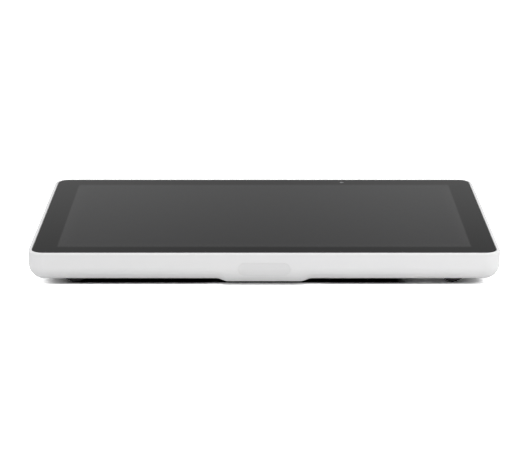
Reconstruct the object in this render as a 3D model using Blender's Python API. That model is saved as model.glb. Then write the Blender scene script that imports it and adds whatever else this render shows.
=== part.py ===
"""Touchscreen point-of-sale terminal: a slab with a glass front, lying on four rubber feet.

The origin is on the surface that the feet stand on, under the middle of the slab. +Z is up, +X is the
user's right, and the user sits on the -Y side. A stand leg folds out of the underside, and a power button
is pressed in through the rear wall.
"""

import math

import bmesh
import bpy
from mathutils import Matrix, Vector

MM = 0.001
X, Y, Z = 0, 1, 2

# Display: the lit area and the black borders of the cover glass round it
ACTIVE_WIDTH = 309.9 * MM
ACTIVE_DEPTH = 174.3 * MM
BORDER_SIDE = 18.15 * MM
BORDER_FRONT = 14.95 * MM
BORDER_REAR = 17.45 * MM
PANEL_EDGE = 4.5 * MM

# Thickness of each layer, from the glass down
GLASS_THICKNESS = 1.8 * MM
GLASS_BEVEL = 0.6 * MM
TAPE_THICKNESS = 0.5 * MM
PANEL_THICKNESS = 2.6 * MM
BACKLIGHT_THICKNESS = 2.0 * MM
FRAME_THICKNESS = 1.2 * MM
COMPONENT_ROOM = 3.3 * MM
BOARD_THICKNESS = 1.6 * MM
BOARD_CLEARANCE = 1.6 * MM

# Housing: a white tub with a rim flush with the glass and an opening for the bottom cover
RIM_WIDTH = 2.6 * MM
WALL = 2.2 * MM
CORNER_RADIUS = 12.0 * MM
TOP_ROUND = 0.8 * MM
BOTTOM_ROUND = 11.2 * MM
RIM_BEVEL = 0.3 * MM
LEDGE_THICKNESS = 1.6 * MM
LEDGE_SIDE = 13.0 * MM
LEDGE_END = 7.0 * MM
SMALLEST_CORNER = 0.4 * MM
CORNER_STEPS = 7
TOP_STEPS = 3
BOTTOM_STEPS = 8
INSIDE_STEPS = 5

# Bottom cover, set flush into the housing's underside
COVER_THICKNESS = 2.0 * MM
COVER_INSET = 11.7 * MM
COVER_CORNER = 5.0 * MM
SEAT_WIDTH = 8.0 * MM
SEAT_THICKNESS = 1.5 * MM
COVER_SCREW_Y = 70.0 * MM

# Lip: a deeper stretch in the middle of the front edge that holds the fingerprint sensor
LIP_DROP = 2.5 * MM
LIP_HALF_WIDTH = 27.25 * MM
LIP_BLEND = 8.5 * MM
LIP_DEPTH = 19.0 * MM
LIP_BACK_BLEND = 9.0 * MM
LIP_STEPS = 4
TONGUE_MARGIN = 2.0 * MM
TONGUE_BLEND = 8.0 * MM

# Fingerprint sensor: a flush pill in the front wall, with its board and flat cable
SENSOR_WIDTH = 38.8 * MM
SENSOR_HEIGHT = 10.4 * MM
SENSOR_DEPTH = 6.75 * MM
SENSOR_BELOW_TOP = 12.4 * MM
SENSOR_BOARD = (35.0 * MM, 1.0 * MM, 8.0 * MM)
SENSOR_CABLE_WIDTH = 8.0 * MM

# Feet
FOOT_HEIGHT = 6.0 * MM
FOOT_RADIUS = 8.25 * MM
FOOT_TIP_RADIUS = 2.9 * MM
FOOT_CONE = 3.0 * MM
FOOT_SEAT = 0.8 * MM
FOOT_FROM_SIDE = 34.0 * MM
FOOT_FROM_COVER_END = 1.45 * MM

# Stand leg and its hinges, folded into a recess in the bottom cover
LEG_WIDTH = 180.0 * MM
LEG_LENGTH = 85.0 * MM
LEG_THICKNESS = 3.4 * MM
LEG_SUNK = 0.2 * MM
LEG_CORNER = 6.0 * MM
LEG_PLATE_START = 3.0 * MM
PAD_DEPTH = 2.7 * MM
PAD_END_GAP = 12.0 * MM
PAD_TUCK = 0.2 * MM
PAD_BEVEL = 0.9 * MM
PAD_BEVEL_STEPS = 3
RECESS_AHEAD = 3.8 * MM
RECESS_GAP = 0.6 * MM
RECESS_WALL = 1.5 * MM
NOTCH_WIDTH = 24.0 * MM
NOTCH_DEPTH = 8.0 * MM
BARREL_RADIUS = 2.3 * MM
BARREL_LENGTH = 13.2 * MM
PIN_RADIUS = 1.25 * MM
PIN_HEAD_RADIUS = 2.0 * MM
PIN_HEAD = 0.8 * MM
PIN_CLEARANCE = 0.35 * MM
BARREL_LIFT = 0.1 * MM
HINGE_SPREAD = 60.0 * MM
WASHER_THICKNESS = 0.8 * MM
EAR_THICKNESS = 2.0 * MM
EAR_RADIUS = 2.5 * MM
BRACKET_THICKNESS = 1.0 * MM
BRACKET_GAP = 0.6 * MM
BRACKET_START = 3.6 * MM
BRACKET_END = 14.0 * MM
BRACKET_SCREW_SPACING = 9.0 * MM
BRACKET_PLATE_INSET = 0.1 * MM
EYE_REACH = 20.0 * MM

# Main board, at the rear, with the sockets along its back edge
BOARD_FROM_SIDE = 26.0 * MM
BOARD_DEPTH = 57.5 * MM
BOARD_WALL_GAP = 1.55 * MM
BOARD_SCREW_FROM_EDGE = 11.0 * MM
BOARD_SCREW_FROM_END = 6.0 * MM
FRAME_SIDE_GAP = 3.25 * MM
FRAME_BEYOND_PANEL = 0.6 * MM
FRAME_SCREW_Y = 53.0 * MM
SHIELD_SIZE = (48.0 * MM, 34.0 * MM, 1.7 * MM)
SHIELD_X = 36.0 * MM
SHIELD_BEVEL = 0.4 * MM
SPREADER_SIZE = (58.0 * MM, 40.0 * MM, 0.7 * MM)
COIN_CELL_RADIUS = 6.25 * MM
COIN_CELL_HEIGHT = 2.0 * MM
COIN_CELL_X = 92.0 * MM
DISPLAY_CABLE_X = -30.0 * MM
DISPLAY_CABLE_WIDTH = 22.0 * MM
DISPLAY_CABLE_RUN = 10.0 * MM
DISPLAY_CABLE_GAP = 1.2 * MM
CABLE_THICKNESS = 0.3 * MM

# Sockets, counted from the middle of the rear wall
USB_A_X = (-72.0 * MM, -92.0 * MM)
USB_A_SIZE = (13.1 * MM, 14.0 * MM, 5.7 * MM)
USB_A_SHELL = 0.35 * MM
USB_A_TONGUE = (11.0 * MM, 1.8 * MM)
USB_A_TONGUE_LIFT = 1.1 * MM
USB_C_X = -114.0 * MM
USB_C_SIZE = (9.0 * MM, 8.0 * MM, 3.3 * MM)
USB_C_SHELL = 0.3 * MM
USB_C_TONGUE = (6.7 * MM, 0.7 * MM)
PORT_BACK_WALL = 1.5 * MM
PORT_SUNK = 0.3 * MM
JACK_X = -134.0 * MM
JACK_SIZE = (9.0 * MM, 11.0 * MM, 6.4 * MM)
JACK_BORE_RADIUS = 2.75 * MM
JACK_PIN_RADIUS = 1.0 * MM

# Power button in the rear wall, and its switch
BUTTON_X = 130.0 * MM
BUTTON_WIDTH = 12.0 * MM
BUTTON_HEIGHT = 4.0 * MM
BUTTON_ABOVE_BOARD = 4.0 * MM
BUTTON_FLANGE = 1.0 * MM
BUTTON_TRAVEL = 0.6 * MM
SWITCH_SIZE = (6.0 * MM, 3.5 * MM, 3.6 * MM)

# Speakers, antennas and camera
SPEAKER_SIZE = (28.0 * MM, 70.0 * MM, 5.2 * MM)
SPEAKER_FROM_SEAT = 3.0 * MM
SPEAKER_Y = -20.0 * MM
SPEAKER_BEVEL = 0.65 * MM
ANTENNA_SIZE = (0.8 * MM, 50.0 * MM, 5.2 * MM)
ANTENNA_WALL_GAP = 0.6 * MM
CAMERA_X = 65.8 * MM
CAMERA_BEHIND_ACTIVE = 8.5 * MM
CAMERA_SIZE = (8.4 * MM, 6.4 * MM, 4.0 * MM)
CAMERA_LENS_RADIUS = 1.7 * MM
CAMERA_LENS_HEIGHT = 0.7 * MM

# Screws: head radius, head height, shank radius, shank length
COVER_SCREW = (2.7 * MM, 0.9 * MM, 1.4 * MM, 6.0 * MM)
FRAME_SCREW = (2.4 * MM, 1.0 * MM, 1.2 * MM, 4.0 * MM)
BOARD_SCREW = (2.4 * MM, 0.9 * MM, 1.2 * MM, 4.6 * MM)
BRACKET_SCREW = (2.1 * MM, 0.8 * MM, 1.1 * MM, 2.0 * MM)
BOSS_RADIUS = 3.0 * MM
COVER_BOSS_HEIGHT = 6.2 * MM
SCREW_CLEARANCE = 0.35 * MM
DRIVE_RADIUS = 0.9 * MM
DRIVE_DEPTH = 0.45 * MM

# Slots in the bottom cover
VENT_COUNT = 17
VENT_PITCH = 8.0 * MM
VENT_SIZE = (2.4 * MM, 12.0 * MM)
VENT_FROM_SEAT = 3.0 * MM
GRILLE_COUNT = 6
GRILLE_PITCH = 6.0 * MM
GRILLE_SIZE = (20.0 * MM, 2.0 * MM)

# Clearances
GAP = 0.3 * MM
GLASS_GAP = 0.3 * MM
CUT_THROUGH = 2.0 * MM
OVERLAP = 0.5 * MM
ROUND_STEPS = 24
SMALL_STEPS = 16
PILL_STEPS = 8
SLOT_STEPS = 4
CABLE_STEPS = 4
BARREL_STEPS = 14
SHARP_ANGLE = math.radians(32)

# Heights and edges that follow from the sizes above
UNDERSIDE = FOOT_HEIGHT
LEG_BOTTOM = UNDERSIDE + LEG_SUNK
HINGE_Z = LEG_BOTTOM + BARREL_RADIUS + BARREL_LIFT
LEG_TOP = LEG_BOTTOM + LEG_THICKNESS
BRACKET_BOTTOM = LEG_TOP + BRACKET_GAP
RECESS_CEILING = BRACKET_BOTTOM + BRACKET_THICKNESS + GAP
RECESS_TOP = RECESS_CEILING + RECESS_WALL
BOARD_BOTTOM = RECESS_TOP + BOARD_CLEARANCE
BOARD_TOP = BOARD_BOTTOM + BOARD_THICKNESS
FRAME_BOTTOM = BOARD_TOP + COMPONENT_ROOM
FRAME_TOP = FRAME_BOTTOM + FRAME_THICKNESS
BACKLIGHT_BOTTOM = FRAME_TOP + GAP
PANEL_BOTTOM = BACKLIGHT_BOTTOM + BACKLIGHT_THICKNESS + GAP
PANEL_TOP = PANEL_BOTTOM + PANEL_THICKNESS
GLASS_BOTTOM = PANEL_TOP + GAP
GLASS_TOP = GLASS_BOTTOM + GLASS_THICKNESS
BODY_TOP = GLASS_TOP
TAPE_BOTTOM = GLASS_BOTTOM - GAP - TAPE_THICKNESS
LEDGE_TOP = TAPE_BOTTOM - GAP
LEDGE_BOTTOM = LEDGE_TOP - LEDGE_THICKNESS
SEAT_BOTTOM = UNDERSIDE + COVER_THICKNESS + GAP
SEAT_TOP = SEAT_BOTTOM + SEAT_THICKNESS
PART_BASE = BOARD_TOP + GAP
GLASS_INSET = RIM_WIDTH + GLASS_GAP
HALF_WIDTH = ACTIVE_WIDTH / 2 + BORDER_SIDE + GLASS_INSET
HALF_DEPTH = (ACTIVE_DEPTH + BORDER_FRONT + BORDER_REAR) / 2 + GLASS_INSET
ACTIVE_FRONT = -HALF_DEPTH + GLASS_INSET + BORDER_FRONT
ACTIVE_REAR = ACTIVE_FRONT + ACTIVE_DEPTH
PANEL_FRONT = ACTIVE_FRONT - PANEL_EDGE
PANEL_REAR = ACTIVE_REAR + PANEL_EDGE
PANEL_HALF_WIDTH = ACTIVE_WIDTH / 2 + PANEL_EDGE
INNER_REAR = HALF_DEPTH - WALL
INNER_SIDE = HALF_WIDTH - WALL
COVER_HALF_WIDTH = HALF_WIDTH - COVER_INSET
COVER_HALF_DEPTH = HALF_DEPTH - COVER_INSET
TONGUE_HALF_WIDTH = LIP_HALF_WIDTH + LIP_BLEND + TONGUE_MARGIN
TONGUE_REACH = LIP_DEPTH + LIP_BACK_BLEND + TONGUE_MARGIN - COVER_INSET
SEAT_HALF_WIDTH = COVER_HALF_WIDTH - SEAT_WIDTH
SEAT_HALF_DEPTH = COVER_HALF_DEPTH - SEAT_WIDTH
RECESS_LENGTH = RECESS_AHEAD + LEG_LENGTH + RECESS_GAP + NOTCH_DEPTH
HINGE_Y = RECESS_AHEAD - RECESS_LENGTH / 2
HINGE_PLACE = (0, HINGE_Y, HINGE_Z)
BOARD_REAR = INNER_REAR - BOARD_WALL_GAP
BOARD_FRONT = BOARD_REAR - BOARD_DEPTH
SENSOR_Z = BODY_TOP - SENSOR_BELOW_TOP
CAMERA_Y = ACTIVE_REAR + CAMERA_BEHIND_ACTIVE


def clear_scene():
    for old in list(bpy.data.objects):
        bpy.data.objects.remove(old, do_unlink=True)


def material(name, colour, roughness, metallic=0.0):
    finish = bpy.data.materials.new(name)
    finish.use_nodes = True
    shader = finish.node_tree.nodes["Principled BSDF"]
    shader.inputs["Base Color"].default_value = (*colour, 1.0)
    shader.inputs["Roughness"].default_value = roughness
    shader.inputs["Metallic"].default_value = metallic
    return finish


def add_object(name, bm, finish=None, place=(0, 0, 0)):
    """Turn a bmesh into an object at its place, with its faces pointing out."""
    bmesh.ops.recalc_face_normals(bm, faces=bm.faces)
    mesh = bpy.data.meshes.new(name)
    bm.to_mesh(mesh)
    bm.free()
    mesh.shade_smooth()
    mesh.set_sharp_from_angle(angle=SHARP_ANGLE)
    piece = bpy.data.objects.new(name, mesh)
    piece.location = place
    bpy.context.scene.collection.objects.link(piece)
    if finish is not None:
        mesh.materials.append(finish)
    return piece


def combine(piece, operation, other_bm, place=(0, 0, 0)):
    """Cut, join or intersect a piece with a guide shape that the build leaves out."""
    guide = add_object("guide_" + piece.name, other_bm, place=place)
    guide.hide_render = True
    guide.display_type = "WIRE"
    change = piece.modifiers.new(operation.title(), "BOOLEAN")
    change.operation = operation
    change.object = guide
    return piece


def spatial(u, v, w, axis):
    """The point at (u, v) across an axis and w along it."""
    if axis == X:
        return Vector((w, u, v))
    if axis == Y:
        return Vector((u, w, v))
    return Vector((u, v, w))


def extrude_outline(bm, outline, low, high, axis=Z):
    """Extrude a closed outline along an axis into a solid."""
    base = bm.faces.new([bm.verts.new(spatial(u, v, low, axis)) for u, v in outline])
    grown = bmesh.ops.extrude_face_region(bm, geom=[base])["geom"]
    moved = [item for item in grown if isinstance(item, bmesh.types.BMVert)]
    bmesh.ops.translate(bm, verts=moved, vec=spatial(0, 0, high - low, axis))
    return bm


def prism(outline, low, high, axis=Z):
    return extrude_outline(bmesh.new(), outline, low, high, axis)


def add_box(bm, low, high):
    size = Vector(high) - Vector(low)
    middle = (Vector(high) + Vector(low)) / 2
    bmesh.ops.create_cube(bm, size=1.0, matrix=Matrix.Translation(middle) @ Matrix.Diagonal((*size, 1.0)))
    return bm


def box(low, high):
    return add_box(bmesh.new(), low, high)


def centred_box(size):
    half = Vector(size) / 2
    return box(-half, half)


def arc(cu, cv, radius, start, end, steps):
    """Points along an arc in degrees, both ends included."""
    angles = [math.radians(start + (end - start) * k / steps) for k in range(steps + 1)]
    return [(cu + radius * math.cos(a), cv + radius * math.sin(a)) for a in angles]


def circle(cu, cv, radius, steps=ROUND_STEPS):
    return arc(cu, cv, radius, 0, 360, steps)[:-1]


def pill(cu, cv, width, height, steps=SMALL_STEPS):
    """An outline with straight long sides and fully round ends."""
    radius = height / 2
    reach = width / 2 - radius
    return arc(cu + reach, cv, radius, -90, 90, steps) + arc(cu - reach, cv, radius, 90, 270, steps)


def rounded_rectangle(half_u, half_v, radius, steps=CORNER_STEPS):
    u, v = half_u - radius, half_v - radius
    return (arc(u, v, radius, 0, 90, steps) + arc(-u, v, radius, 90, 180, steps)
            + arc(-u, -v, radius, 180, 270, steps) + arc(u, -v, radius, 270, 360, steps))


def square_front_outline(half_u, front, rear, radius, steps=CORNER_STEPS):
    """A rectangle whose two rear corners are rounded."""
    return (arc(half_u - radius, rear - radius, radius, 0, 90, steps)
            + arc(radius - half_u, rear - radius, radius, 90, 180, steps)
            + [(-half_u, front), (half_u, front)])


def turned(profile, steps=ROUND_STEPS):
    """Spin a profile of (radius, height) points, both ends on the axis, round Z."""
    bm = bmesh.new()
    verts = [bm.verts.new((radius, 0, height)) for radius, height in profile]
    edges = [bm.edges.new(pair) for pair in zip(verts, verts[1:])]
    bmesh.ops.spin(bm, geom=verts + edges, cent=(0, 0, 0), axis=(0, 0, 1), angle=math.tau, steps=steps,
                   use_merge=True)
    bmesh.ops.remove_doubles(bm, verts=bm.verts, dist=0.001 * MM)
    return bm


def loft(rings, closed=False):
    """Skin a stack of rings that have equal numbers of points. A closed stack joins its ends up."""
    bm = bmesh.new()
    loops = [[bm.verts.new(point) for point in ring] for ring in rings]
    pairs = list(zip(loops, loops[1:]))
    if closed:
        pairs.append((loops[-1], loops[0]))
    else:
        bm.faces.new(loops[0])
        bm.faces.new(loops[-1])
    for low, high in pairs:
        for k in range(len(low)):
            n = (k + 1) % len(low)
            bm.faces.new((low[k], low[n], high[n], high[k]))
    return bm


def smooth_step(value):
    share = min(max(value, 0.0), 1.0)
    return share * share * (3 - 2 * share)


def lip_stations():
    """Where the front edge needs points so that the flanks of the lip and its tongue stay smooth."""
    steps = [k / LIP_STEPS for k in range(LIP_STEPS + 1)]
    flank = [LIP_HALF_WIDTH + LIP_BLEND * share for share in steps]
    flank += [TONGUE_HALF_WIDTH + TONGUE_BLEND * share for share in steps]
    return [-x for x in reversed(flank)] + flank


def tongue(x):
    """How much of the tongue's reach there is at x: the tongue carries the lip back under the slab."""
    return smooth_step((TONGUE_HALF_WIDTH + TONGUE_BLEND - abs(x)) / TONGUE_BLEND)


def with_lip(x, y, z):
    """Stretch the bottom curve down where the lip is."""
    across = smooth_step((LIP_HALF_WIDTH + LIP_BLEND - abs(x)) / LIP_BLEND)
    inward = y + HALF_DEPTH
    along = smooth_step((LIP_DEPTH + LIP_BACK_BLEND - inward) / LIP_BACK_BLEND)
    start = UNDERSIDE + BOTTOM_ROUND
    below = min(max((start - z) / BOTTOM_ROUND, 0.0), 1.0)
    return Vector((x, y, z - LIP_DROP * across * along * below))


def body_outline(inset_side, inset_end, radius, reach=0.0, spread=0.0):
    """The housing's outline at the given insets, with the tongue reaching back from the front edge.

    Spread moves the tongue's flanks outwards.
    """
    outline = rounded_rectangle(HALF_WIDTH - inset_side, HALF_DEPTH - inset_end, radius)
    front = inset_end - HALF_DEPTH
    last_corner = len(outline) * 3 // 4
    stations = [(x + math.copysign(spread, x), front + reach * tongue(x)) for x in lip_stations()]
    return outline[:last_corner] + stations + outline[last_corner:]


def body_ring(inset_side, inset_end, z, radius=None, reach=0.0):
    """One ring of the housing at the given insets from its outline."""
    if radius is None:
        radius = max(CORNER_RADIUS - max(inset_side, inset_end), SMALLEST_CORNER)
    return [with_lip(x, y, z) for x, y in body_outline(inset_side, inset_end, radius, reach)]


def quarter(steps):
    return [math.pi / 2 * k / steps for k in range(steps + 1)]


def outer_rings():
    """The outside of the housing, from the rim down to the edge of the cover's opening."""
    rings = [body_ring(TOP_ROUND * (1 - math.sin(a)), TOP_ROUND * (1 - math.sin(a)),
                       BODY_TOP - TOP_ROUND * (1 - math.cos(a))) for a in quarter(TOP_STEPS)]
    for a in quarter(BOTTOM_STEPS):
        inset = BOTTOM_ROUND * (1 - math.cos(a))
        rings.append(body_ring(inset, inset, UNDERSIDE + BOTTOM_ROUND * (1 - math.sin(a))))
    return rings + flange_rings()


def flange_rings():
    """Flat rings from the bottom curve to the cover's opening, placed to suit the lip's back slope."""
    depths = [LIP_DEPTH + LIP_BACK_BLEND * k / LIP_STEPS for k in range(LIP_STEPS + 1)]
    rings = []
    for depth in depths + [COVER_INSET + TONGUE_REACH]:
        share = (depth - BOTTOM_ROUND) / (COVER_INSET + TONGUE_REACH - BOTTOM_ROUND)
        inset = BOTTOM_ROUND + (COVER_INSET - BOTTOM_ROUND) * share
        radius = SMALLEST_CORNER + (COVER_CORNER - SMALLEST_CORNER) * share
        rings.append(body_ring(inset, inset, UNDERSIDE, radius, TONGUE_REACH * share))
    return rings


def inner_rings():
    """The cover's seat, the inside of the bottom curve and wall, the ledge and the rim."""
    seat = COVER_INSET + SEAT_WIDTH
    rings = [body_ring(COVER_INSET, COVER_INSET, SEAT_BOTTOM, COVER_CORNER, TONGUE_REACH),
             body_ring(seat, seat, SEAT_BOTTOM, COVER_CORNER, TONGUE_REACH),
             body_ring(seat, seat, SEAT_TOP, COVER_CORNER, TONGUE_REACH)]
    radius = BOTTOM_ROUND - WALL
    start = math.asin((UNDERSIDE + BOTTOM_ROUND - SEAT_TOP) / radius)
    for k in range(INSIDE_STEPS + 1):
        a = start * (1 - k / INSIDE_STEPS)
        inset = BOTTOM_ROUND - radius * math.cos(a)
        rings.append(body_ring(inset, inset, UNDERSIDE + BOTTOM_ROUND - radius * math.sin(a)))
    rings += [body_ring(WALL, WALL, LEDGE_BOTTOM),
              body_ring(LEDGE_SIDE, LEDGE_END, LEDGE_BOTTOM, COVER_CORNER),
              body_ring(LEDGE_SIDE, LEDGE_END, LEDGE_TOP, COVER_CORNER),
              body_ring(RIM_WIDTH, RIM_WIDTH, LEDGE_TOP),
              body_ring(RIM_WIDTH, RIM_WIDTH, BODY_TOP - RIM_BEVEL),
              body_ring(RIM_WIDTH - RIM_BEVEL, RIM_WIDTH - RIM_BEVEL, BODY_TOP)]
    return rings


def foot_places():
    x, y = HALF_WIDTH - FOOT_FROM_SIDE, COVER_HALF_DEPTH - FOOT_FROM_COVER_END - FOOT_RADIUS
    return {"front_left": (-x, -y), "front_right": (x, -y), "rear_left": (-x, y), "rear_right": (x, y)}


def cover_screw_places():
    side, end = COVER_HALF_WIDTH - SEAT_WIDTH / 2, COVER_HALF_DEPTH - SEAT_WIDTH / 2
    return [(-side, -COVER_SCREW_Y), (0, TONGUE_REACH - end), (side, -COVER_SCREW_Y),
            (-side, COVER_SCREW_Y), (0, end), (side, COVER_SCREW_Y)]


def frame_screw_places():
    x = (PANEL_HALF_WIDTH + INNER_SIDE) / 2 + GAP
    return [(x * side, FRAME_SCREW_Y * end) for side in (-1, 1) for end in (-1, 1)]


def board_screw_places():
    x = HALF_WIDTH - BOARD_FROM_SIDE - BOARD_SCREW_FROM_EDGE
    front, rear = BOARD_FRONT + BOARD_SCREW_FROM_END, PANEL_REAR - BOARD_SCREW_FROM_END
    return [(-x, front), (x, front), (-x, rear), (x, rear)]


def add_posts(piece, places, low, high, radius):
    posts = bmesh.new()
    for x, y in places:
        extrude_outline(posts, circle(x, y, radius, SMALL_STEPS), low, high)
    return combine(piece, "UNION", posts)


def drill(piece, places, low, high, radius, steps=SMALL_STEPS):
    holes = bmesh.new()
    for x, y in places:
        extrude_outline(holes, circle(x, y, radius, steps), low, high)
    return combine(piece, "DIFFERENCE", holes)


def port_openings():
    """The cutters for the sockets and the power button in the rear wall."""
    bm = bmesh.new()
    low, high = INNER_REAR - OVERLAP, HALF_DEPTH + CUT_THROUGH
    width, _, height = USB_A_SIZE
    for x in USB_A_X:
        half = width / 2 + GAP
        add_box(bm, (x - half, low, PART_BASE - GAP), (x + half, high, PART_BASE + height + GAP))
    width, _, height = USB_C_SIZE
    outline = pill(USB_C_X, PART_BASE + height / 2, width + 2 * GAP, height + 2 * GAP, PILL_STEPS)
    extrude_outline(bm, outline, low, high, Y)
    extrude_outline(bm, circle(JACK_X, jack_z(), JACK_BORE_RADIUS + GAP), low, high, Y)
    outline = pill(BUTTON_X, button_z(), BUTTON_WIDTH + 2 * GAP, BUTTON_HEIGHT + 2 * GAP, PILL_STEPS)
    return extrude_outline(bm, outline, low, high, Y)


def jack_z():
    return PART_BASE + JACK_SIZE[2] / 2


def button_z():
    return BOARD_TOP + BUTTON_ABOVE_BOARD


def build_housing(finish):
    housing = add_object("housing", loft(outer_rings() + inner_rings(), closed=True), finish)
    add_posts(housing, cover_screw_places(), SEAT_BOTTOM + OVERLAP, SEAT_BOTTOM + COVER_BOSS_HEIGHT - GAP,
              BOSS_RADIUS)
    add_posts(housing, frame_screw_places(), FRAME_TOP + GAP, LEDGE_BOTTOM + OVERLAP, BOSS_RADIUS)
    drill(housing, cover_screw_places(), UNDERSIDE, SEAT_BOTTOM + COVER_BOSS_HEIGHT + CUT_THROUGH,
          COVER_SCREW[2] + SCREW_CLEARANCE)
    drill(housing, frame_screw_places(), FRAME_BOTTOM, FRAME_TOP + FRAME_SCREW[3] - OVERLAP,
          FRAME_SCREW[2] + SCREW_CLEARANCE)
    combine(housing, "DIFFERENCE", port_openings())
    window = pill(0, SENSOR_Z, SENSOR_WIDTH + 2 * GAP, SENSOR_HEIGHT + 2 * GAP)
    combine(housing, "DIFFERENCE", prism(window, -HALF_DEPTH - CUT_THROUGH, -HALF_DEPTH + SENSOR_DEPTH, Y))


def build_glass(finish):
    half_width, half_depth = HALF_WIDTH - GLASS_INSET, HALF_DEPTH - GLASS_INSET
    radius = CORNER_RADIUS - GLASS_INSET
    levels = [(0, 0), (0, GLASS_THICKNESS - GLASS_BEVEL), (GLASS_BEVEL, GLASS_THICKNESS)]
    rings = []
    for inset, z in levels:
        outline = rounded_rectangle(half_width - inset, half_depth - inset, radius - inset)
        rings.append([Vector((x, y, z)) for x, y in outline])
    add_object("cover_glass", loft(rings), finish, (0, 0, GLASS_BOTTOM))


def build_tape(finish):
    outer = GLASS_INSET + GAP
    rings = [body_ring(side, end, z, radius) for side, end, z, radius in (
        (outer, outer, TAPE_BOTTOM, None),
        (outer, outer, TAPE_BOTTOM + TAPE_THICKNESS, None),
        (LEDGE_SIDE - GAP, LEDGE_END - GAP, TAPE_BOTTOM + TAPE_THICKNESS, COVER_CORNER),
        (LEDGE_SIDE - GAP, LEDGE_END - GAP, TAPE_BOTTOM, COVER_CORNER))]
    add_object("glass_tape", loft(rings, closed=True), finish)


def build_display(panel_finish, backlight_finish):
    middle = (PANEL_FRONT + PANEL_REAR) / 2
    for name, low, height, finish in (
            ("lcd_panel", PANEL_BOTTOM, PANEL_THICKNESS, panel_finish),
            ("backlight_unit", BACKLIGHT_BOTTOM, BACKLIGHT_THICKNESS, backlight_finish)):
        layer = centred_box((PANEL_HALF_WIDTH * 2, PANEL_REAR - PANEL_FRONT, height))
        add_object(name, layer, finish, (0, middle, low + height / 2))


def build_mid_frame(finish):
    half_width = INNER_SIDE - FRAME_SIDE_GAP
    low = (-half_width, PANEL_FRONT - FRAME_BEYOND_PANEL, FRAME_BOTTOM)
    high = (half_width, PANEL_REAR + FRAME_BEYOND_PANEL, FRAME_TOP)
    frame = add_object("mid_frame", box(low, high), finish)
    add_posts(frame, board_screw_places(), BOARD_TOP + GAP, FRAME_BOTTOM + OVERLAP, BOSS_RADIUS)
    drill(frame, frame_screw_places(), FRAME_BOTTOM - CUT_THROUGH, FRAME_TOP + CUT_THROUGH,
          FRAME_SCREW[2] + SCREW_CLEARANCE)
    drill(frame, board_screw_places(), BOARD_TOP, FRAME_TOP + CUT_THROUGH, BOARD_SCREW[2] + SCREW_CLEARANCE)


def build_main_board(finish):
    half_width = HALF_WIDTH - BOARD_FROM_SIDE
    low, high = (-half_width, BOARD_FRONT, BOARD_BOTTOM), (half_width, BOARD_REAR, BOARD_TOP)
    board = add_object("main_board", box(low, high), finish)
    drill(board, board_screw_places(), BOARD_BOTTOM - CUT_THROUGH, BOARD_TOP + CUT_THROUGH,
          BOARD_SCREW[2] + SCREW_CLEARANCE)


def build_board_parts(steel, aluminium, cell_finish):
    y = (BOARD_FRONT + PANEL_REAR) / 2
    width, depth, height = SHIELD_SIZE
    can = centred_box(SHIELD_SIZE)
    rim = [edge for edge in can.edges if all(vert.co.z > 0 for vert in edge.verts)]
    bmesh.ops.bevel(can, geom=rim, offset=SHIELD_BEVEL, segments=1, affect="EDGES")
    add_object("shield_can", can, steel, (SHIELD_X, y, PART_BASE + height / 2))
    spreader_z = PART_BASE + height + GAP + SPREADER_SIZE[2] / 2
    add_object("heat_spreader", centred_box(SPREADER_SIZE), aluminium, (SHIELD_X, y, spreader_z))
    cell = prism(circle(0, 0, COIN_CELL_RADIUS), 0, COIN_CELL_HEIGHT)
    add_object("coin_cell", cell, cell_finish, (COIN_CELL_X, y, PART_BASE))


def add_socket(name, finish, outer, pocket, tongue, length):
    """A socket as one body: a shell with a pocket open to the rear and a tongue in the pocket."""
    rear = HALF_DEPTH - PORT_SUNK
    front = rear - length
    socket = add_object(name, prism(outer, front, rear, Y), finish)
    combine(socket, "DIFFERENCE", prism(pocket, front + PORT_BACK_WALL, rear + CUT_THROUGH, Y))
    return combine(socket, "UNION", prism(tongue, front + PORT_BACK_WALL / 2, rear - PORT_BACK_WALL / 2, Y))


def rectangle(cu, cv, width, height):
    return [(cu - width / 2, cv - height / 2), (cu + width / 2, cv - height / 2),
            (cu + width / 2, cv + height / 2), (cu - width / 2, cv + height / 2)]


def build_sockets(steel, black):
    width, length, height = USB_A_SIZE
    z = PART_BASE + height / 2
    for side, x in zip(("inner", "outer"), USB_A_X):
        pocket = rectangle(x, z, width - 2 * USB_A_SHELL, height - 2 * USB_A_SHELL)
        tongue = rectangle(x, z + USB_A_TONGUE_LIFT, *USB_A_TONGUE)
        add_socket("usb_a_port_" + side, steel, rectangle(x, z, width, height), pocket, tongue, length)
    width, length, height = USB_C_SIZE
    z = PART_BASE + height / 2
    pocket = pill(USB_C_X, z, width - 2 * USB_C_SHELL, height - 2 * USB_C_SHELL, PILL_STEPS)
    tongue = rectangle(USB_C_X, z, *USB_C_TONGUE)
    add_socket("usb_c_port", steel, pill(USB_C_X, z, width, height, PILL_STEPS), pocket, tongue, length)
    build_jack(black)


def build_jack(finish):
    width, length, height = JACK_SIZE
    rear = INNER_REAR - GAP
    front = rear - length
    z = jack_z()
    jack = add_object("power_jack", prism(rectangle(JACK_X, z, width, height), front, rear, Y), finish)
    bore = prism(circle(JACK_X, z, JACK_BORE_RADIUS), front + PORT_BACK_WALL, rear + CUT_THROUGH, Y)
    combine(jack, "DIFFERENCE", bore)
    pin = prism(circle(JACK_X, z, JACK_PIN_RADIUS, SMALL_STEPS), front + PORT_BACK_WALL / 2,
                rear - PORT_BACK_WALL / 2, Y)
    combine(jack, "UNION", pin)


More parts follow.
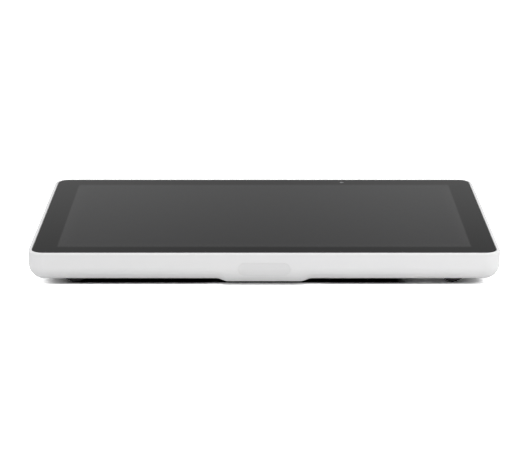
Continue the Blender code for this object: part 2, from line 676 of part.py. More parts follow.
def build_power_button(finish, switch_finish):
    """The button slides towards -Y. Its origin is on its own axis, at the wall's outer face."""
    flange_rear = INNER_REAR - GAP - HALF_DEPTH
    flange = pill(0, 0, BUTTON_WIDTH + 2 * BUTTON_FLANGE, BUTTON_HEIGHT + 2 * BUTTON_FLANGE, PILL_STEPS)
    cap = pill(0, 0, BUTTON_WIDTH, BUTTON_HEIGHT, PILL_STEPS)
    place = (BUTTON_X, HALF_DEPTH, button_z())
    button = add_object("power_button", prism(cap, flange_rear - OVERLAP, 0, Y), finish, place)
    combine(button, "UNION", prism(flange, flange_rear - BUTTON_FLANGE, flange_rear, Y), place)
    width, depth, height = SWITCH_SIZE
    rear = HALF_DEPTH + flange_rear - BUTTON_FLANGE - BUTTON_TRAVEL - GAP
    low = (BUTTON_X - width / 2, rear - depth, PART_BASE)
    add_object("power_switch", box(low, (BUTTON_X + width / 2, rear, PART_BASE + height)), switch_finish)


def build_fingerprint_reader(finish, board_finish, cable_finish):
    front, rear = -HALF_DEPTH - CUT_THROUGH, -HALF_DEPTH + SENSOR_DEPTH - OVERLAP
    outline = pill(0, SENSOR_Z, SENSOR_WIDTH, SENSOR_HEIGHT)
    sensor = add_object("fingerprint_sensor", prism(outline, front, rear, Y), finish)
    combine(sensor, "INTERSECT", loft(outer_rings()))
    size = Vector(SENSOR_BOARD)
    board_y = rear + GAP + size.y / 2
    add_object("fingerprint_board", centred_box(size), board_finish, (0, board_y, SENSOR_Z))
    build_sensor_cable(board_y + size.y / 2 + GAP, cable_finish)


def ribbon(path, thickness):
    """The outline of a flat cable: a path in (y, z) given a thickness."""
    sides = [[], []]
    for k, point in enumerate(path):
        before, after = path[max(k - 1, 0)], path[min(k + 1, len(path) - 1)]
        along = Vector(after) - Vector(before)
        across = Vector((-along.y, along.x)).normalized() * thickness / 2
        sides[0].append(tuple(Vector(point) + across))
        sides[1].append(tuple(Vector(point) - across))
    return sides[0] + sides[1][::-1]


def build_sensor_cable(start_y, finish):
    """A flat cable from the sensor's board, under the mid frame, to the main board's front edge."""
    bend = COMPONENT_ROOM / 2
    run_z = BOARD_TOP + COMPONENT_ROOM / 2
    y = start_y + CABLE_THICKNESS
    path = [(y, SENSOR_Z - SENSOR_BOARD[2] / 2)] + arc(y + bend, run_z - bend, bend, 180, 90, CABLE_STEPS)
    end = BOARD_FRONT + BOARD_SCREW_FROM_END
    path += arc(end - bend, run_z - bend + OVERLAP, bend - OVERLAP, 90, 20, CABLE_STEPS)
    outline = ribbon(path, CABLE_THICKNESS)
    half = SENSOR_CABLE_WIDTH / 2
    add_object("fingerprint_cable", prism(outline, -half, half, X), finish)


def build_display_cable(finish):
    """A flat cable from the panel's rear edge, round the mid frame, to the top of the main board."""
    y = PANEL_REAR + DISPLAY_CABLE_GAP
    bend = COMPONENT_ROOM / 2
    low_z = PART_BASE + CABLE_THICKNESS
    path = [(y, PANEL_TOP - GAP), (y, FRAME_BOTTOM)]
    path += arc(y - bend, low_z + bend, bend, 0, -90, CABLE_STEPS)
    path.append((y - DISPLAY_CABLE_RUN, low_z))
    half = DISPLAY_CABLE_WIDTH / 2
    outline = ribbon(path, CABLE_THICKNESS)
    add_object("display_cable", prism(outline, DISPLAY_CABLE_X - half, DISPLAY_CABLE_X + half, X), finish)


def build_camera(finish, lens_finish):
    top = GLASS_BOTTOM - GAP
    module_top = top - CAMERA_LENS_HEIGHT - GAP
    place = (CAMERA_X, CAMERA_Y, module_top - CAMERA_SIZE[2] / 2)
    add_object("camera_module", centred_box(CAMERA_SIZE), finish, place)
    lens = prism(circle(0, 0, CAMERA_LENS_RADIUS), 0, CAMERA_LENS_HEIGHT)
    add_object("camera_lens", lens, lens_finish, (CAMERA_X, CAMERA_Y, top - CAMERA_LENS_HEIGHT))


def build_speakers_and_antennas(speaker_finish, antenna_finish):
    width, depth, height = SPEAKER_SIZE
    x = SEAT_HALF_WIDTH - SPEAKER_FROM_SEAT - width / 2
    z = UNDERSIDE + COVER_THICKNESS + GAP + height / 2
    antenna_x = INNER_SIDE - ANTENNA_WALL_GAP - ANTENNA_SIZE[0] / 2
    antenna_z = LEDGE_BOTTOM - GAP - ANTENNA_SIZE[2] / 2
    for side, sign in (("left", -1), ("right", 1)):
        body = centred_box(SPEAKER_SIZE)
        bmesh.ops.bevel(body, geom=body.edges, offset=SPEAKER_BEVEL, segments=1, affect="EDGES")
        add_object("speaker_" + side, body, speaker_finish, (sign * x, SPEAKER_Y, z))
        strip = centred_box(ANTENNA_SIZE)
        add_object("wifi_antenna_" + side, strip, antenna_finish, (sign * antenna_x, 0, antenna_z))


def recess_outline(margin=0.0):
    rear = HINGE_Y + LEG_LENGTH + RECESS_GAP + margin
    return square_front_outline(LEG_WIDTH / 2 + RECESS_GAP + margin, HINGE_Y - RECESS_AHEAD - margin, rear,
                                LEG_CORNER + RECESS_GAP + margin)


def notch_box(margin=0.0, top=RECESS_CEILING, bottom=UNDERSIDE - CUT_THROUGH):
    rear = HINGE_Y + LEG_LENGTH + RECESS_GAP
    half = NOTCH_WIDTH / 2 + margin
    return (-half, rear - LEG_CORNER, bottom), (half, rear + NOTCH_DEPTH + margin, top)


def cover_slots():
    """The vent slots at the rear and the two speaker grilles."""
    bm = bmesh.new()
    low, high = UNDERSIDE - CUT_THROUGH, UNDERSIDE + COVER_THICKNESS + CUT_THROUGH
    rear = SEAT_HALF_DEPTH - VENT_FROM_SEAT
    for k in range(VENT_COUNT):
        x = (k - (VENT_COUNT - 1) / 2) * VENT_PITCH
        outline = pill(-(rear - VENT_SIZE[1] / 2), x, VENT_SIZE[1], VENT_SIZE[0], SLOT_STEPS)
        extrude_outline(bm, [(v, -u) for u, v in outline], low, high)
    grille_x = SEAT_HALF_WIDTH - SPEAKER_FROM_SEAT - SPEAKER_SIZE[0] / 2
    for x in (-grille_x, grille_x):
        for k in range(GRILLE_COUNT):
            y = SPEAKER_Y + (k - (GRILLE_COUNT - 1) / 2) * GRILLE_PITCH
            extrude_outline(bm, pill(x, y, *GRILLE_SIZE, SLOT_STEPS), low, high)
    return bm


def build_bottom_cover(finish):
    inset = COVER_INSET + GAP
    outline = body_outline(inset, inset, COVER_CORNER - GAP, TONGUE_REACH, GAP)
    cover = add_object("bottom_cover", prism(outline, UNDERSIDE, UNDERSIDE + COVER_THICKNESS), finish)
    middle = UNDERSIDE + COVER_THICKNESS / 2
    tub = prism(recess_outline(RECESS_WALL), middle, RECESS_TOP)
    combine(cover, "UNION", tub)
    combine(cover, "UNION", box(*notch_box(RECESS_WALL, RECESS_TOP - OVERLAP, middle)))
    combine(cover, "DIFFERENCE", prism(recess_outline(), UNDERSIDE - CUT_THROUGH, RECESS_CEILING))
    combine(cover, "DIFFERENCE", box(*notch_box(top=RECESS_CEILING - OVERLAP)))
    combine(cover, "DIFFERENCE", cover_slots())
    head_radius, head_height, shank_radius, _ = COVER_SCREW
    drill(cover, cover_screw_places(), UNDERSIDE - CUT_THROUGH, UNDERSIDE + COVER_THICKNESS + CUT_THROUGH,
          shank_radius + SCREW_CLEARANCE)
    drill(cover, cover_screw_places(), UNDERSIDE - CUT_THROUGH, UNDERSIDE + head_height + GAP,
          head_radius + SCREW_CLEARANCE)
    drill(cover, bracket_screw_places(), RECESS_CEILING - OVERLAP, RECESS_TOP + CUT_THROUGH,
          BRACKET_SCREW[2] + SCREW_CLEARANCE)
    drill(cover, foot_places().values(), UNDERSIDE - CUT_THROUGH, UNDERSIDE + FOOT_SEAT, FOOT_RADIUS + GAP,
          ROUND_STEPS)


def build_feet(finish):
    top = FOOT_HEIGHT + FOOT_SEAT - GAP
    profile = [(0, 0), (FOOT_TIP_RADIUS, 0), (FOOT_RADIUS, FOOT_CONE), (FOOT_RADIUS, top), (0, top)]
    mesh = None
    for name, (x, y) in foot_places().items():
        foot = add_object("foot_" + name, turned(profile), finish, (x, y, 0))
        mesh = mesh or foot.data
        foot.data = mesh


def barrel_outline():
    """The rolled edge of the leg round the pin, and the web that joins it to the plate."""
    web_low, web_high = -BARREL_RADIUS, LEG_TOP - HINGE_Z - 2 * PAD_TUCK
    start = math.degrees(math.asin(web_high / BARREL_RADIUS))
    reach = LEG_PLATE_START + OVERLAP
    return arc(0, 0, BARREL_RADIUS, start, 270, BARREL_STEPS) + [(reach, web_low), (reach, web_high)]


def build_stand_leg(finish, pad_finish):
    """The leg turns about its origin, which lies on the pins' axis."""
    low, high = LEG_BOTTOM - HINGE_Z, LEG_TOP - HINGE_Z
    plate_rear = LEG_LENGTH - PAD_DEPTH - GAP
    plate = prism(square_front_outline(LEG_WIDTH / 2, LEG_PLATE_START, plate_rear, LEG_CORNER), low, high)
    leg = add_object("stand_leg", plate, finish, HINGE_PLACE)
    barrels, bores = bmesh.new(), bmesh.new()
    for x in (-HINGE_SPREAD, HINGE_SPREAD):
        half = BARREL_LENGTH / 2
        extrude_outline(barrels, barrel_outline(), x - half, x + half, X)
        bore = circle(0, 0, PIN_RADIUS + PIN_CLEARANCE)
        extrude_outline(bores, bore, x - half - CUT_THROUGH, x + half + CUT_THROUGH, X)
    combine(leg, "UNION", barrels, HINGE_PLACE)
    combine(leg, "DIFFERENCE", bores, HINGE_PLACE)
    build_stand_pad(plate_rear + GAP, low + PAD_TUCK, high - PAD_TUCK, pad_finish)


def build_stand_pad(front, low, high, finish):
    half = LEG_WIDTH / 2 - PAD_END_GAP
    pad = box((-half, front, low), (half, LEG_LENGTH, high))
    tip = [edge for edge in pad.edges if all(vert.co.y > (front + LEG_LENGTH) / 2 for vert in edge.verts)]
    bmesh.ops.bevel(pad, geom=tip, offset=PAD_BEVEL, segments=PAD_BEVEL_STEPS, profile=0.5, affect="EDGES")
    add_object("stand_pad", pad, finish, HINGE_PLACE)


def hinge_spans():
    """Along +X from a hinge's middle: where its ears, washer and pin start and end."""
    half = BARREL_LENGTH / 2
    inner_ear = (-half - GAP - EAR_THICKNESS, -half - GAP)
    washer = (half + GAP, half + GAP + WASHER_THICKNESS)
    outer_ear = (washer[1] + GAP, washer[1] + GAP + EAR_THICKNESS)
    return {"inner_ear": inner_ear, "washer": washer, "outer_ear": outer_ear,
            "pin": (inner_ear[0] - OVERLAP, outer_ear[1] + GAP),
            "head": (outer_ear[1] + GAP, outer_ear[1] + GAP + PIN_HEAD)}


def ear_outline():
    """A round eye on the pin with an arm along the top that joins the bracket's plate."""
    low, high = BRACKET_BOTTOM - HINGE_Z, BRACKET_BOTTOM + BRACKET_THICKNESS - HINGE_Z
    start = math.degrees(math.asin(low / EAR_RADIUS))
    eye = arc(0, 0, EAR_RADIUS, 90, start + 360, BARREL_STEPS)
    return eye + [(BRACKET_END, low), (BRACKET_END, high), (0, high)]


def bracket_screw_places():
    y = HINGE_Y + (BRACKET_START + BRACKET_END) / 2
    spans = hinge_spans()
    middle = (spans["inner_ear"][0] + spans["outer_ear"][1]) / 2
    places = []
    for sign in (-1, 1):
        for step in (-0.5, 0.5):
            places.append((sign * (HINGE_SPREAD + middle) + step * BRACKET_SCREW_SPACING, y))
    return places


def mirrored(span, sign):
    """A span from a hinge's middle, placed on the left or the right hinge."""
    ends = [sign * (HINGE_SPREAD + value) for value in span]
    return min(ends), max(ends)


def build_hinges(steel, washer_finish):
    for side, sign in (("left", -1), ("right", 1)):
        build_bracket("hinge_bracket_" + side, sign, steel)
        build_pin("hinge_pin_" + side, sign, steel)
        build_washer("hinge_washer_" + side, sign, washer_finish)


def hinge_prism(outline, span, sign):
    """A shape along the pins' axis, over a span of the left or the right hinge."""
    return prism(outline, *mirrored(span, sign), X)


def build_bracket(name, sign, finish):
    spans = hinge_spans()
    low, high = BRACKET_BOTTOM - HINGE_Z, BRACKET_BOTTOM + BRACKET_THICKNESS - HINGE_Z
    ends = mirrored((spans["inner_ear"][0] + OVERLAP, spans["outer_ear"][1] - OVERLAP), sign)
    inset = BRACKET_PLATE_INSET
    plate = box((ends[0], BRACKET_START, low + inset), (ends[1], BRACKET_END - inset, high - inset))
    bracket = add_object(name, plate, finish, HINGE_PLACE)
    for key in ("inner_ear", "outer_ear"):
        combine(bracket, "UNION", hinge_prism(ear_outline(), spans[key], sign), HINGE_PLACE)
    eye = circle(0, 0, PIN_RADIUS + PIN_CLEARANCE)
    combine(bracket, "DIFFERENCE", hinge_prism(eye, (-EYE_REACH, EYE_REACH), sign), HINGE_PLACE)
    countersink_bracket(bracket, sign)


def build_pin(name, sign, finish):
    spans = hinge_spans()
    shank = circle(0, 0, PIN_RADIUS)
    pin = add_object(name, hinge_prism(shank, spans["pin"], sign), finish, HINGE_PLACE)
    head = circle(0, 0, PIN_HEAD_RADIUS)
    combine(pin, "UNION", hinge_prism(head, spans["head"], sign), HINGE_PLACE)


def build_washer(name, sign, finish):
    disc = circle(0, 0, BARREL_RADIUS - GAP)
    washer = add_object(name, hinge_prism(disc, hinge_spans()["washer"], sign), finish, HINGE_PLACE)
    eye = circle(0, 0, PIN_RADIUS + PIN_CLEARANCE)
    combine(washer, "DIFFERENCE", hinge_prism(eye, (0, EYE_REACH), sign), HINGE_PLACE)


def countersink_bracket(bracket, sign):
    head_radius, head_height, shank_radius, _ = BRACKET_SCREW
    profile = [(0, -CUT_THROUGH), (head_radius + GAP, -CUT_THROUGH), (head_radius + GAP, 0),
               (shank_radius + GAP, head_height), (shank_radius + GAP, CUT_THROUGH), (0, CUT_THROUGH)]
    for x, y in bracket_screw_places():
        if x * sign > 0:
            combine(bracket, "DIFFERENCE", turned(profile, SMALL_STEPS), (x, y, BRACKET_BOTTOM))


def screw_profile(size):
    """A pan head with a round drive recess, then a plain shank, growing upwards."""
    head_radius, head_height, shank_radius, length = size
    top = head_height + length
    return [(0, DRIVE_DEPTH), (DRIVE_RADIUS, DRIVE_DEPTH), (DRIVE_RADIUS, 0), (head_radius - GAP, 0),
            (head_radius, GAP), (head_radius, head_height), (shank_radius, head_height),
            (shank_radius, top - GAP), (shank_radius / 2, top), (0, top)]


def countersunk_profile(size):
    head_radius, head_height, shank_radius, length = size
    top = head_height + length
    return [(0, 0), (head_radius - GAP / 2, 0), (shank_radius, head_height), (shank_radius, top), (0, top)]


def add_screws(name, profile, places, z, finish):
    """Screws that are driven in from below, head down, all alike."""
    mesh = None
    for number, (x, y) in enumerate(places, 1):
        screw = add_object(name + "_" + str(number), turned(profile, SMALL_STEPS), finish, (x, y, z))
        mesh = mesh or screw.data
        screw.data = mesh


def build_screws(finish):
    add_screws("cover_screw", screw_profile(COVER_SCREW), cover_screw_places(), UNDERSIDE, finish)
    add_screws("frame_screw", screw_profile(FRAME_SCREW), frame_screw_places(),
               FRAME_BOTTOM - GAP - FRAME_SCREW[1], finish)
    add_screws("board_screw", screw_profile(BOARD_SCREW), board_screw_places(),
               BOARD_BOTTOM - GAP - BOARD_SCREW[1], finish)
    profile = countersunk_profile(BRACKET_SCREW)
    add_screws("bracket_screw", profile, bracket_screw_places(), BRACKET_BOTTOM, finish)


def build_terminal():
    clear_scene()
    white = material("white_plastic", (0.80, 0.80, 0.80), 0.42)
    pill_white = material("sensor_plastic", (0.72, 0.72, 0.72), 0.36)
    charcoal = material("charcoal_plastic", (0.035, 0.036, 0.038), 0.55)
    glass = material("black_glass", (0.012, 0.012, 0.013), 0.08)
    rubber = material("black_rubber", (0.015, 0.015, 0.015), 0.8)
    steel = material("steel", (0.55, 0.55, 0.56), 0.3, 1.0)
    aluminium = material("aluminium", (0.7, 0.71, 0.72), 0.4, 1.0)
    black = material("black_plastic", (0.02, 0.02, 0.02), 0.5)
    board_green = material("board_green", (0.02, 0.12, 0.05), 0.5)
    tape = material("foam_tape", (0.02, 0.02, 0.02), 0.9)
    panel = material("display_panel", (0.03, 0.03, 0.035), 0.2)
    flex = material("flex_cable", (0.35, 0.2, 0.05), 0.5)
    diffuser = material("diffuser", (0.85, 0.86, 0.88), 0.6)

    build_housing(white)
    build_glass(glass)
    build_tape(tape)
    build_display(panel, diffuser)
    build_mid_frame(aluminium)
    build_main_board(board_green)
    build_board_parts(steel, aluminium, steel)
    build_sockets(steel, black)
    build_power_button(white, black)
    build_fingerprint_reader(pill_white, board_green, flex)
    build_display_cable(flex)
    build_camera(black, glass)
    build_speakers_and_antennas(black, flex)
    build_bottom_cover(charcoal)
    build_feet(rubber)
    build_stand_leg(charcoal, rubber)
    build_hinges(steel, black)
    build_screws(steel)


build_terminal()
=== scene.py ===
import math
import bmesh
import bpy
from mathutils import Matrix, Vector


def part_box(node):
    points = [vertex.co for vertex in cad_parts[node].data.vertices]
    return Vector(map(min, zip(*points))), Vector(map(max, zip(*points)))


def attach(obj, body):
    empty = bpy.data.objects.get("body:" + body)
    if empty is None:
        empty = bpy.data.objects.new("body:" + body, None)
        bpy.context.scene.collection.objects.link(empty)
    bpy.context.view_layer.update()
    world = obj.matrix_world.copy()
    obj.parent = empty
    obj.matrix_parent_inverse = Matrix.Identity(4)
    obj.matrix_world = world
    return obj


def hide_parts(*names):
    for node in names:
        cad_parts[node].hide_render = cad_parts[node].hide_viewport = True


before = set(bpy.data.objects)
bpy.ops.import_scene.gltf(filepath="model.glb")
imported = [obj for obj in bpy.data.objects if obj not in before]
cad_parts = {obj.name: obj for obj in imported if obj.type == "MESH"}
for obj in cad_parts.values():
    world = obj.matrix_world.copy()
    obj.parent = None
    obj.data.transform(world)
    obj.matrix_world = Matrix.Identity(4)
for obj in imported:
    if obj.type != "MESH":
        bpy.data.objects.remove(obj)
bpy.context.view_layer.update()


# ---------------------------------------------------------------------------------------------------
# Housing: a tub moulded in white ABS with a fine matt texture. Its rim is flush with the glass, its
# lower edge is rounded, and a deeper lip in the middle of the front edge holds the fingerprint sensor.
# ---------------------------------------------------------------------------------------------------
MM = 0.001
far_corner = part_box("housing")[1]
half_width = far_corner.x
half_depth = far_corner.y
rim_top = far_corner.z
underside = 6.0 * MM
corner_radius = 12.0 * MM
rim_radius = 0.8 * MM
lower_radius = 11.2 * MM
wall = 2.2 * MM
room_floor = 9.8 * MM
room_ceiling = 23.5 * MM
pocket_inset = 2.6 * MM
pocket_corner = 9.4 * MM
pocket_floor = 25.1 * MM
screen_inset_side = 13 * MM
screen_inset_end = 7 * MM
screen_corner = 5 * MM
tight = 0.01 * MM


def alone(piece):
    """Select one piece and make it active."""
    bpy.ops.object.select_all(action="DESELECT")
    piece.select_set(True)
    bpy.context.view_layer.objects.active = piece


def block(name, low, high):
    """A cube primitive stretched between two corners."""
    bpy.ops.object.select_all(action="DESELECT")
    low, high = Vector(low), Vector(high)
    bpy.ops.mesh.primitive_cube_add(size=1, location=(low + high) / 2)
    piece = bpy.context.object
    piece.name = name
    piece.scale = high - low
    bpy.ops.object.transform_apply(location=True, rotation=True, scale=True)
    return piece


def pick(piece, kind, test):
    """Select the vertices, edges or faces that pass a test, and nothing else."""
    bpy.ops.mesh.select_mode(type=kind)
    bpy.ops.mesh.select_all(action="DESELECT")
    bm = bmesh.from_edit_mesh(piece.data)
    items = {"VERT": bm.verts, "EDGE": bm.edges, "FACE": bm.faces}[kind]
    for item in items:
        if test(item):
            item.select_set(True)
    bmesh.update_edit_mesh(piece.data)


def at_height(z):
    """A test for the edges that lie at one height."""
    return lambda item: all(abs(vert.co.z - z) < tight for vert in item.verts)


def upright(edge):
    """Whether an edge stands along Z."""
    a, b = (vert.co for vert in edge.verts)
    return (a.xy - b.xy).length < tight and abs(a.z - b.z) > tight


def round_edges(piece, test, radius, steps):
    """Bevel the edges that pass a test."""
    alone(piece)
    bpy.ops.object.mode_set(mode="EDIT")
    pick(piece, "EDGE", test)
    bpy.ops.mesh.bevel(offset=radius, segments=steps, profile=0.5, affect="EDGES")
    bpy.ops.object.mode_set(mode="OBJECT")


def slice_piece(piece, axis, places):
    """Cut extra edges across a piece, square to an axis."""
    alone(piece)
    bpy.ops.object.mode_set(mode="EDIT")
    for place in places:
        across = Vector((0, 0, 0))
        across[axis] = 1
        bpy.ops.mesh.select_all(action="SELECT")
        bpy.ops.mesh.bisect(plane_co=across * place, plane_no=across)
    bpy.ops.object.mode_set(mode="OBJECT")


def draw_points(piece, shift):
    """Move points with the move tool, each group of points by the shift that the function gives it."""
    groups = {}
    for vert in piece.data.vertices:
        move = shift(vert.co)
        if move.length > 0.001 * MM:
            groups.setdefault(tuple(round(part / MM, 4) for part in move), []).append(vert.index)
    alone(piece)
    bpy.ops.object.mode_set(mode="EDIT")
    bpy.ops.mesh.select_mode(type="VERT")
    for move, indices in groups.items():
        bpy.ops.mesh.select_all(action="DESELECT")
        bm = bmesh.from_edit_mesh(piece.data)
        bm.verts.ensure_lookup_table()
        for index in indices:
            bm.verts[index].select_set(True)
        bmesh.update_edit_mesh(piece.data)
        bpy.ops.transform.translate(value=Vector(move) * MM)
    bpy.ops.object.mode_set(mode="OBJECT")


def combine(piece, tool, how="DIFFERENCE"):
    """Cut, join or intersect a piece with another, and throw the other away."""
    alone(piece)
    change = piece.modifiers.new(how.title(), "BOOLEAN")
    change.operation = how
    change.object = tool
    change.solver = "EXACT"
    bpy.ops.object.modifier_apply(modifier=change.name)
    bpy.data.objects.remove(tool, do_unlink=True)


def smooth_step(value):
    """An eased change from 0 to 1."""
    share = min(max(value, 0.0), 1.0)
    return share * share * (3 - 2 * share)


lip_drop = 2.5 * MM
lip_half = 27.25 * MM
lip_blend = 8.5 * MM
lip_depth = 19.0 * MM
lip_back_blend = 9.0 * MM


def lip_shift(point):
    """How far a point of the outer form moves down to make the lip."""
    across = smooth_step((lip_half + lip_blend - abs(point.x)) / lip_blend)
    along = smooth_step((lip_depth + lip_back_blend - point.y - half_depth) / lip_back_blend)
    below = min(max((underside + lower_radius - point.z) / lower_radius, 0.0), 1.0)
    return Vector((0, 0, -lip_drop * across * along * below))


def slab(name, inset, top, steps=12):
    """The housing's outer form, or the same form inset all round."""
    low = Vector((inset - half_width, inset - half_depth, underside + inset))
    form = block(name, low, (half_width - inset, half_depth - inset, top))
    round_edges(form, upright, corner_radius - inset, steps)
    round_edges(form, at_height(low.z), lower_radius - inset, steps)
    return form


def body_form(name):
    """The outer form with its rounded rim and with the lip drawn down out of its lower front edge."""
    form = slab(name, 0, rim_top)
    round_edges(form, at_height(rim_top), rim_radius, 5)
    flank = [lip_half + lip_blend * k / 10 for k in range(11)]
    slice_piece(form, 0, [-x for x in flank] + flank)
    slice_piece(form, 1, [lip_depth - half_depth + lip_back_blend * k / 8 for k in range(9)])
    draw_points(form, lip_shift)
    return form


def plate(name, inset_side, inset_end, radius, low, high, steps=8):
    """A plate with the housing's outline at the given insets and its own corner radius."""
    x, y = half_width - inset_side, half_depth - inset_end
    form = block(name, (-x, -y, low), (x, y, high))
    round_edges(form, upright, radius, steps)
    return form


opening_inset = 11.7 * MM
opening_corner = 5.0 * MM
seat_width = 8.0 * MM
tongue_half = 37.75 * MM
tongue_blend = 8.0 * MM
tongue_reach = 18.3 * MM


def tongue_shift(point):
    """How far a point of the opening's front edge moves back to make the tongue."""
    share = smooth_step((tongue_half + tongue_blend - abs(point.x)) / tongue_blend)
    return Vector((0, tongue_reach * share if point.y < 0 else 0, 0))


def opening(name, inset, low, high):
    """The opening for the bottom cover, which goes round the tongue behind the lip."""
    form = plate(name, inset, inset, opening_corner, low, high)
    flank = [tongue_half + tongue_blend * k / 8 for k in range(9)]
    slice_piece(form, 0, [-x for x in flank] + flank)
    draw_points(form, tongue_shift)
    return form


pill_fullness = 0.9995


def pill(name, middle, width, height, low, high, steps):
    """A pill from y = low to y = high. Its ends stop just short of fully round, so they don't meet."""
    x, z = middle
    form = block(name, (x - width / 2, low, z - height / 2), (x + width / 2, high, z + height / 2))

    def along_y(edge):
        a, b = (vert.co for vert in edge.verts)
        return abs(a.y - b.y) > tight

    round_edges(form, along_y, height / 2 * pill_fullness, steps)
    return form


def finish_surface(piece, sharp=35):
    """Merge stray points, shade the piece smooth except at sharp edges, and keep its flat faces flat."""
    alone(piece)
    bpy.ops.object.mode_set(mode="EDIT")
    bpy.ops.mesh.select_all(action="SELECT")
    bpy.ops.mesh.remove_doubles(threshold=0.002 * MM)
    bpy.ops.object.mode_set(mode="OBJECT")
    bpy.ops.object.shade_smooth_by_angle(angle=math.radians(sharp))
    weigh = piece.modifiers.new("Flat faces", "WEIGHTED_NORMAL")
    weigh.keep_sharp = True
    bpy.ops.object.modifier_apply(modifier=weigh.name)


def shader(name, colour, roughness, metallic=0.0):
    """A new material and its Principled shader."""
    finish = bpy.data.materials.new(name)
    finish.use_nodes = True
    surface = finish.node_tree.nodes["Principled BSDF"]
    surface.inputs["Base Color"].default_value = (*colour, 1)
    surface.inputs["Roughness"].default_value = roughness
    surface.inputs["Metallic"].default_value = metallic
    return finish, surface


def add_node(tree, kind, place, **settings):
    """A new shader node at a place in the node editor."""
    node = tree.nodes.new(kind)
    node.location = place
    for key, value in settings.items():
        setattr(node, key, value)
    return node


def add_group(name, inputs, outputs):
    """An empty shader node group with named sockets, (name, type, value) for each input."""
    group = bpy.data.node_groups.new(name, "ShaderNodeTree")
    for label, kind, value in inputs:
        socket = group.interface.new_socket(label, in_out="INPUT", socket_type=kind)
        socket.default_value = value
    for label, kind in outputs:
        group.interface.new_socket(label, in_out="OUTPUT", socket_type=kind)
    start = add_node(group, "NodeGroupInput", (-900, 0))
    end = add_node(group, "NodeGroupOutput", (500, 0))
    return group, start, end


def moulded_texture():
    """The fine spark-eroded texture of a moulded face: a height for a bump, a colour and a roughness."""
    group, start, end = add_group("Moulded texture", [
        ("Colour", "NodeSocketColor", (0.8, 0.8, 0.8, 1)), ("Shade", "NodeSocketColor", (0.7, 0.7, 0.7, 1)),
        ("Grain size", "NodeSocketFloat", 2600.0), ("Roughness", "NodeSocketFloat", 0.4),
        ("Variation", "NodeSocketFloat", 0.06)],
        [("Colour", "NodeSocketColor"), ("Roughness", "NodeSocketFloat"), ("Height", "NodeSocketFloat")])
    place = add_node(group, "ShaderNodeTexCoord", (-900, -300))
    grain = add_node(group, "ShaderNodeTexNoise", (-600, -200))
    grain.inputs["Detail"].default_value = 4.0
    group.links.new(place.outputs["Object"], grain.inputs["Vector"])
    group.links.new(start.outputs["Grain size"], grain.inputs["Scale"])
    cloud = add_node(group, "ShaderNodeTexNoise", (-600, -500))
    cloud.inputs["Scale"].default_value = 24.0
    cloud.inputs["Detail"].default_value = 6.0
    group.links.new(place.outputs["Object"], cloud.inputs["Vector"])
    spread = add_node(group, "ShaderNodeMapRange", (-350, -500))
    spread.inputs["From Min"].default_value = 0.35
    spread.inputs["From Max"].default_value = 0.65
    group.links.new(cloud.outputs["Fac"], spread.inputs["Value"])
    mix = add_node(group, "ShaderNodeMix", (-100, 150), data_type="RGBA")
    group.links.new(spread.outputs["Result"], mix.inputs["Factor"])
    group.links.new(start.outputs["Colour"], mix.inputs["A"])
    group.links.new(start.outputs["Shade"], mix.inputs["B"])
    swing = add_node(group, "ShaderNodeMath", (-350, -150), operation="SUBTRACT")
    swing.inputs[1].default_value = 0.5
    group.links.new(grain.outputs["Fac"], swing.inputs[0])
    scale = add_node(group, "ShaderNodeMath", (-100, -150), operation="MULTIPLY_ADD")
    group.links.new(swing.outputs[0], scale.inputs[0])
    group.links.new(start.outputs["Variation"], scale.inputs[1])
    group.links.new(start.outputs["Roughness"], scale.inputs[2])
    group.links.new(mix.outputs["Result"], end.inputs["Colour"])
    group.links.new(scale.outputs[0], end.inputs["Roughness"])
    group.links.new(grain.outputs["Fac"], end.inputs["Height"])
    return group


moulded = moulded_texture()


def moulded_plastic(name, colour, shade, roughness, grain_size=2600.0, depth=0.006, variation=0.06):
    """Plastic with a moulded texture. Depth is the bump's height in millimetres."""
    finish, surface = shader(name, colour, roughness)
    tree = finish.node_tree
    skin = add_node(tree, "ShaderNodeGroup", (-500, 100), node_tree=moulded)
    skin.inputs["Colour"].default_value = (*colour, 1)
    skin.inputs["Shade"].default_value = (*shade, 1)
    skin.inputs["Grain size"].default_value = grain_size
    skin.inputs["Roughness"].default_value = roughness
    skin.inputs["Variation"].default_value = variation
    bump = add_node(tree, "ShaderNodeBump", (-250, -200))
    bump.inputs["Distance"].default_value = depth * MM
    tree.links.new(skin.outputs["Colour"], surface.inputs["Base Color"])
    tree.links.new(skin.outputs["Roughness"], surface.inputs["Roughness"])
    tree.links.new(skin.outputs["Height"], bump.inputs["Height"])
    tree.links.new(bump.outputs["Normal"], surface.inputs["Normal"])
    return finish


def coat(piece, finish):
    """Give a piece one material."""
    piece.data.materials.clear()
    piece.data.materials.append(finish)


housing = body_form("white_housing")
pocket_top = 30 * MM
combine(housing, plate("glass_pocket", pocket_inset, pocket_inset, pocket_corner, pocket_floor,
                       pocket_top, 12))
room = slab("room", wall, room_ceiling, 8)
slice_piece(room, 2, [room_floor])
alone(room)
bpy.ops.object.mode_set(mode="EDIT")
bpy.ops.mesh.select_all(action="SELECT")
bpy.ops.mesh.bisect(plane_co=(0, 0, room_floor), plane_no=(0, 0, 1), use_fill=True, clear_inner=True)
bpy.ops.object.mode_set(mode="OBJECT")
combine(housing, room)
screen_cut = (23 * MM, 26 * MM)
cover_cut = (2 * MM, 8.3 * MM)
seat_cut = (8 * MM, 10.5 * MM)
combine(housing, plate("glass_opening", screen_inset_side, screen_inset_end, screen_corner, *screen_cut))
combine(housing, opening("cover_opening", opening_inset, *cover_cut))
combine(housing, opening("seat_opening", opening_inset + seat_width, *seat_cut))

socket_gap = 0.3 * MM
button_hole = (12.6 * MM, 4.6 * MM)
jack_hole = (6.12 * MM, 6.1 * MM)
rear_cut = (half_depth - wall - MM, half_depth + MM)


